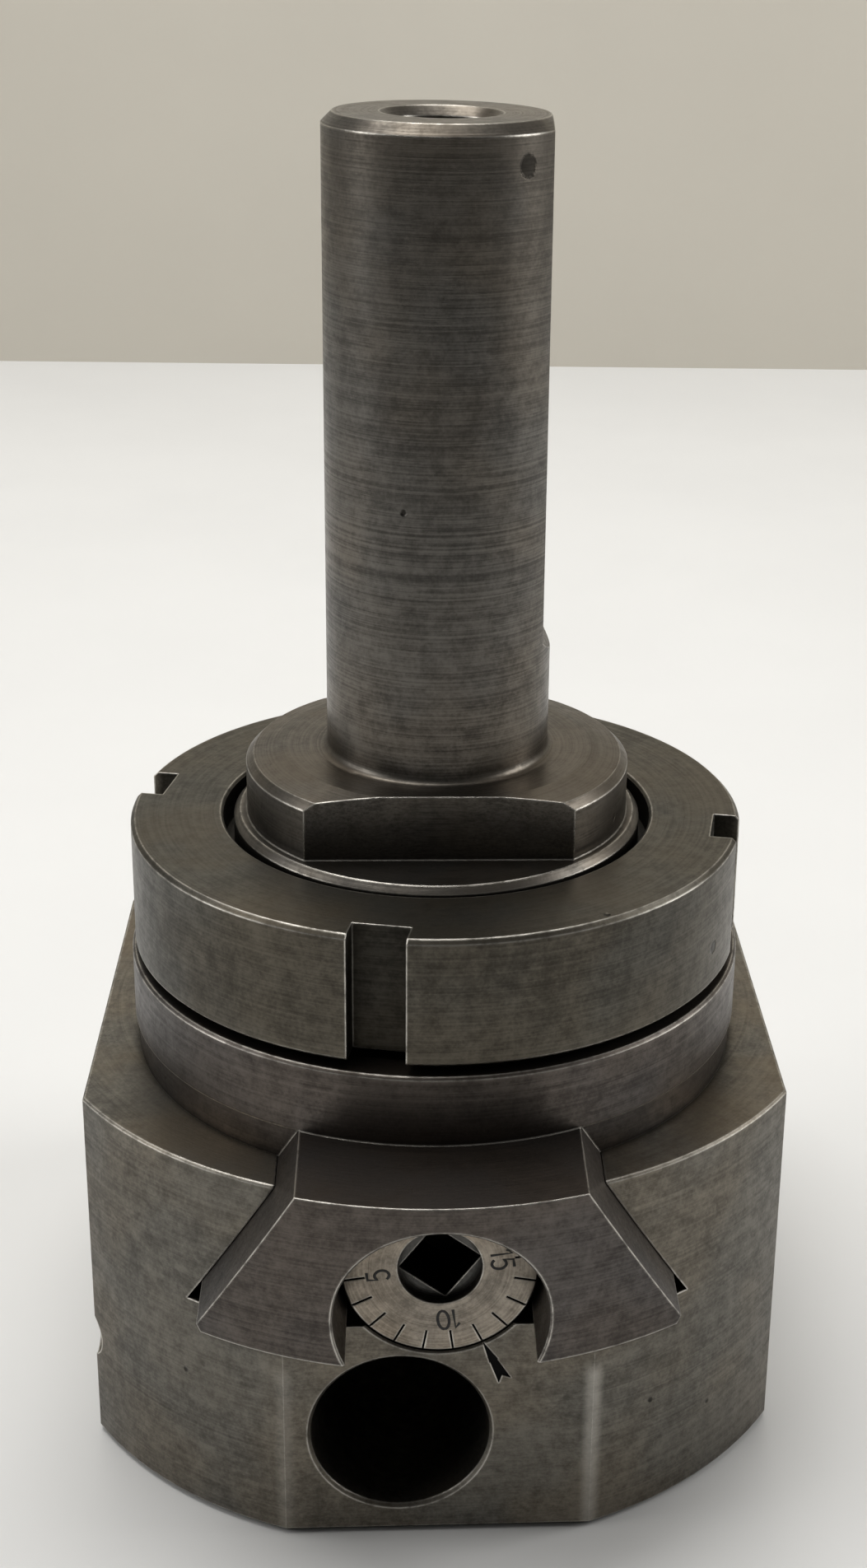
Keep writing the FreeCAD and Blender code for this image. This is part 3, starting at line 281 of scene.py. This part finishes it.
def worn_steel(name, grain, roughness, axis="Z", axis_point=(0, 0, 0), marks_share=0.35, depth=1.0, dents=(),
               engraved_face=None, slotted_radius=None, corner_highlights=()):
    """Old steel: tool marks, mottled patina, bright edges that are part wear and part painted highlight,
    brown bloom on upward faces, and painted shade in corners, holes and slots.

    grain is the spacing of the tool marks in metres. dents are dark spots as (x, y, z, radius), and the
    streaks listed in rubbed are painted highlights as (x, share). engraved_face is the Y of a front face
    whose lines are dark.
    """
    graph = Graph(f"{name}_steel")
    normal = graph.add("ShaderNodeTexCoord").outputs["Normal"]
    upward = graph.band(graph.axes(normal)[2], 0.5, 0.95)
    patches = graph.noise(graph.place, PATCH_SIZE, 3.0, 0.55)
    blotches = graph.noise(graph.place, BLOTCH_SIZE, 5.0, 0.7)
    speckle = graph.noise(graph.place, SPECKLE_SIZE, 2.0, 0.6)
    fine = tool_marks(graph, grain, axis, axis_point)
    coarse = tool_marks(graph, grain * 5, axis, axis_point)
    marks = graph.plus(graph.times(fine, 0.78), graph.times(coarse, 0.22))
    tone = graph.plus(graph.times(patches, PATCH_SHARE), graph.times(blotches, BLOTCH_SHARE))
    tone = graph.plus(tone, graph.times(speckle, SPECKLE_SHARE))
    tone = graph.plus(tone, graph.times(marks, marks_share))
    middle = (PATCH_SHARE + BLOTCH_SHARE + SPECKLE_SHARE + marks_share) / 2
    low, high = middle - TONE_SPREAD, middle + TONE_SPREAD
    colour = patina(graph, TINT[name], graph.band(tone, low, high), patches, upward)
    # painted highlights: soft light streaks at the front flat's corners
    for side, share in corner_highlights:
        colour = graph.mix(rubbed_mask(graph, normal, side, share), colour, BRIGHT)
    pits = pit_mask(graph, blotches, dents)
    colour = graph.mix(graph.times(pits, 0.8), colour, DARK_PITS_AND_SHADE)
    painted_shade = grime_mask(graph, normal, blotches, slotted_radius)
    # painted shade: corners, deep holes and slots mixed towards near black
    colour = graph.mix(graph.times(painted_shade, 0.85), colour, DARK_PITS_AND_SHADE)
    edges, rounded = worn_edges(graph)
    wear_and_highlight = graph.times(edges, graph.band(blotches, 0.35, 0.55, 0.35, 1.0))
    wear_and_highlight = graph.times(wear_and_highlight, graph.math("SUBTRACT", 1.0, painted_shade))
    # bright edges: partly worn bare metal, partly a painted highlight
    colour = graph.mix(graph.times(wear_and_highlight, 0.9), colour, BRIGHT)
    if engraved_face is not None:
        colour = graph.mix(engraved_mask(graph, normal, engraved_face), colour, ENGRAVED)
    graph.set("Base Color", colour)
    graph.set("Metallic", 1.0)
    rough = graph.band(tone, low, high, roughness + 0.08, roughness - 0.06)
    rough = graph.plus(rough, graph.times(painted_shade, 0.2))
    graph.set("Roughness", graph.math("SUBTRACT", rough, graph.times(wear_and_highlight, 0.1)))
    graph.bump([(marks, MARK_DEPTH * depth), (speckle, SPECKLE_DEPTH), (blotches, BLOTCH_DEPTH),
                (graph.math("SUBTRACT", 1.0, pits), PIT_DEPTH)], rounded)
    return graph.material


def middle_of(node):
    low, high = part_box(node)
    return tuple((low[i] + high[i]) / 2 for i in range(3))


SCREW_AXIS = middle_of("lead_screw")
BLOCK_AXIS = middle_of("slide_block")
DIAL_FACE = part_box("dial")[0][1]
BLOCK_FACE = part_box("slide_block")[0][1]
RING_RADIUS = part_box("ring_nut")[1][0]
FLAT_CORNER = 21.5 * MM
SHANK_SPOT = (10.9 * MM, -11.7 * MM, 186.6 * MM, 1.7 * MM)
RING_PIT = (0.870 * RING_RADIUS, -0.493 * RING_RADIUS, 80 * MM, 1.2 * MM)

SHANK_STEEL = worn_steel("shank", grain=0.30 * MM, roughness=0.36, marks_share=0.55, depth=1.3,
                         dents=[SHANK_SPOT])
RING_STEEL = worn_steel("ring", grain=0.40 * MM, roughness=0.40, slotted_radius=RING_RADIUS, dents=[RING_PIT])
BODY_STEEL = worn_steel("body", grain=0.40 * MM, roughness=0.42)
BLOCK_STEEL = worn_steel("block", grain=0.45 * MM, roughness=0.44, axis_point=BLOCK_AXIS, marks_share=0.25,
                         engraved_face=BLOCK_FACE, corner_highlights=[(FLAT_CORNER, 0.30), (-FLAT_CORNER, 0.12)])
HARD_STEEL = worn_steel("hard", grain=0.20 * MM, roughness=0.34, axis_point=SCREW_AXIS, axis="Y")
BLACK_OXIDE = worn_steel("oxide", grain=0.25 * MM, roughness=0.40)
BRONZE = worn_steel("bronze", grain=0.25 * MM, roughness=0.34, axis_point=SCREW_AXIS, axis="Y")
DIAL_METAL = worn_steel("dial", grain=0.25 * MM, roughness=0.40, axis_point=SCREW_AXIS, axis="Y",
                        engraved_face=DIAL_FACE)

FINISH = {
    "shank": SHANK_STEEL, "ring_nut": RING_STEEL, "head_body": BODY_STEEL, "slide_block": BLOCK_STEEL,
    "screw_bracket": BLOCK_STEEL, "dial": DIAL_METAL,
    "lead_screw": HARD_STEEL, "drive_pins": HARD_STEEL, "tail_washer": HARD_STEEL,
    "screw_nut": BRONZE, "front_thrust_washer": BRONZE, "rear_thrust_washer": BRONZE,
}


def dress_nodes():
    """Give every CAD node its finish; the shoes are bronze coloured, and the rest are black screws."""
    for name, node in NODES.items():
        finish = FINISH.get(name, BRONZE if "shoe" in name else BLACK_OXIDE)
        node.data.materials.clear()
        node.data.materials.append(finish)


# ---------------------------------------------------------------- numbers on the dial

def arc(x, z, across, tall, first, last, steps=16):
    """Points on part of an ellipse, angles in degrees."""
    angles = [math.radians(first + (last - first) * step / steps) for step in range(steps + 1)]
    return [(x + across * math.cos(angle), z + tall * math.sin(angle)) for angle in angles]


# each digit: its width and its stroke, in heights of a digit, as is the gap between two digits
DIGITS = {
    "0": (0.52, arc(0.26, 0.5, 0.26, 0.5, 90, 450)),
    "1": (0.22, [(0.0, 0.76), (0.22, 1.0), (0.22, 0.0)]),
    "5": (0.52, [(0.50, 1.0), (0.10, 1.0), (0.04, 0.56)] + arc(0.25, 0.33, 0.27, 0.33, 125, -145)),
}
DIGIT_HEIGHT, DIGIT_RADIUS, DIGIT_GAP = 3.0 * MM, 8.5 * MM, 0.24
STROKE_WIDTH, STROKE_FLATNESS = 0.42 * MM, 0.12
# where the dial's zero stands, from +X towards +Z, and the angle from line to line, in degrees
ZERO_ANGLE, LINE_ANGLE = 98.0, 18.0
NUMBERS = (0, 5, 10, 15)


def number_strokes(number):
    """The strokes of one number round the dial as points in space, its top outward."""
    turn = math.radians(ZERO_ANGLE + LINE_ANGLE * number)
    up, right = (math.cos(turn), math.sin(turn)), (math.sin(turn), -math.cos(turn))
    digits = [DIGITS[digit] for digit in str(number)]
    left = -(sum(width for width, _ in digits) + DIGIT_GAP * (len(digits) - 1)) / 2
    strokes = []
    for width, stroke in digits:
        points = []
        for x, z in stroke:
            side, out = (left + x) * DIGIT_HEIGHT, DIGIT_RADIUS + (z - 0.5) * DIGIT_HEIGHT
            points.append((SCREW_AXIS[0] + right[0] * side + up[0] * out, DIAL_FACE,
                           SCREW_AXIS[2] + right[1] * side + up[1] * out))
        strokes.append(points)
        left += width + DIGIT_GAP
    return strokes


def make_dial_numbers():
    """Thin dark strokes, flattened on the dial's face."""
    curve = bpy.data.curves.new("dial_numbers_path", "CURVE")
    curve.dimensions = "3D"
    curve.bevel_depth, curve.bevel_resolution, curve.use_fill_caps = STROKE_WIDTH / 2, 2, True
    for number in NUMBERS:
        for points in number_strokes(number):
            spline = curve.splines.new("POLY")
            spline.points.add(len(points) - 1)
            for spot, point in zip(spline.points, points):
                spot.co = (*point, 1.0)
    path = bpy.data.objects.new("dial_numbers_path", curve)
    mesh = bpy.data.meshes.new_from_object(path)
    bpy.data.objects.remove(path)
    for vertex in mesh.vertices:
        vertex.co.y = DIAL_FACE + (vertex.co.y - DIAL_FACE) * STROKE_FLATNESS
    paint = Graph("number_paint")
    grain = paint.noise(paint.place, 0.4 * MM)
    paint.set("Base Color", paint.mix(grain, (0.004, 0.004, 0.004, 1.0), (0.016, 0.015, 0.014, 1.0)))
    paint.set("Roughness", paint.band(grain, 0.3, 0.7, 0.5, 0.7))
    mesh.materials.clear()
    mesh.materials.append(paint.material)
    piece = bpy.data.objects.new("dial_numbers", mesh)
    bpy.context.scene.collection.objects.link(piece)
    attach(piece, "screw")


# ---------------------------------------------------------------- floor, light, camera

def plain(name, colour, roughness):
    """A matt material with faint broad shades."""
    graph = Graph(name)
    shade = tuple(channel * 0.93 for channel in colour[:3]) + (1.0,)
    share = graph.band(graph.noise(graph.place, 0.12), 0.3, 0.7, 0.0, 0.4)
    graph.set("Base Color", graph.mix(share, colour, shade))
    graph.set("Roughness", roughness)
    return graph.material


def sheet(name, corners, material):
    mesh = bpy.data.meshes.new(name)
    mesh.from_pydata(corners, [], [(0, 1, 2, 3)])
    mesh.materials.append(material)
    thing = bpy.data.objects.new(name, mesh)
    bpy.context.scene.collection.objects.link(thing)


def make_stage():
    reach, wall, height = 2.5, 0.73, 2.0
    sheet("floor", [(-reach, -reach, 0), (reach, -reach, 0), (reach, wall, 0), (-reach, wall, 0)],
          plain("floor_paper", rgb(222, 222, 221), 0.8))
    sheet("wall", [(-reach, wall, 0), (reach, wall, 0), (reach, wall, height), (-reach, wall, height)],
          plain("wall_paint", rgb(196, 191, 180), 0.9))


LAMP_COLOUR, LAMPS_AIM = (1.0, 0.99, 0.97), Vector((0, 0, 80 * MM))


def lamp(name, place, width, height, power):
    """A soft rectangular lamp that looks at the object's middle."""
    light = bpy.data.lights.new(name, "AREA")
    light.shape = "RECTANGLE"
    light.size, light.size_y = width, height
    light.energy = power
    light.color = LAMP_COLOUR
    thing = bpy.data.objects.new(name, light)
    thing.location = place
    thing.rotation_euler = (LAMPS_AIM - Vector(place)).to_track_quat("-Z", "Y").to_euler()
    bpy.context.scene.collection.objects.link(thing)


def make_light():
    lamp("top_light", (-0.15, 0.20, 1.1), 1.0, 0.7, 11.0)
    lamp("left_light", (-1.0, -0.10, 0.55), 0.5, 0.8, 4.2)
    lamp("right_light", (1.0, 0.05, 0.55), 0.5, 0.8, 6.0)
    world = bpy.data.worlds.new("room")
    bpy.context.scene.world = world
    world.use_nodes = True
    background = world.node_tree.nodes["Background"]
    background.inputs["Color"].default_value = rgb(196, 195, 192)
    background.inputs["Strength"].default_value = 0.16


# the camera's place, its angles in degrees, and its lens
CAMERA_PLACE = (-5.37 * MM, -303.31 * MM, 223.84 * MM)
HEADING, LOOKING_DOWN, ROLL = -3.967, 20.78, 1.436
LENS, SENSOR_WIDTH = 51.37, 36.0
SHIFT_X, SHIFT_Y = -0.0716, -0.0508


def make_camera():
    """The reference view: from the front, a little to the left, looking down at about 21 degrees."""
    camera = bpy.data.cameras.new("camera")
    camera.lens = LENS
    camera.sensor_width = SENSOR_WIDTH
    camera.shift_x, camera.shift_y = SHIFT_X, SHIFT_Y
    camera.clip_start, camera.clip_end = 0.01, 20.0
    thing = bpy.data.objects.new("camera", camera)
    heading, pitch, roll = (math.radians(angle) for angle in (HEADING, 90 - LOOKING_DOWN, ROLL))
    turn = Matrix.Rotation(heading, 4, "Z") @ Matrix.Rotation(pitch, 4, "X") @ Matrix.Rotation(roll, 4, "Z")
    thing.matrix_world = Matrix.Translation(CAMERA_PLACE) @ turn
    bpy.context.scene.collection.objects.link(thing)
    bpy.context.scene.camera = thing
    bpy.context.scene.view_settings.view_transform = "Standard"


dress_nodes()
make_dial_numbers()
make_stage()
make_light()
make_camera()
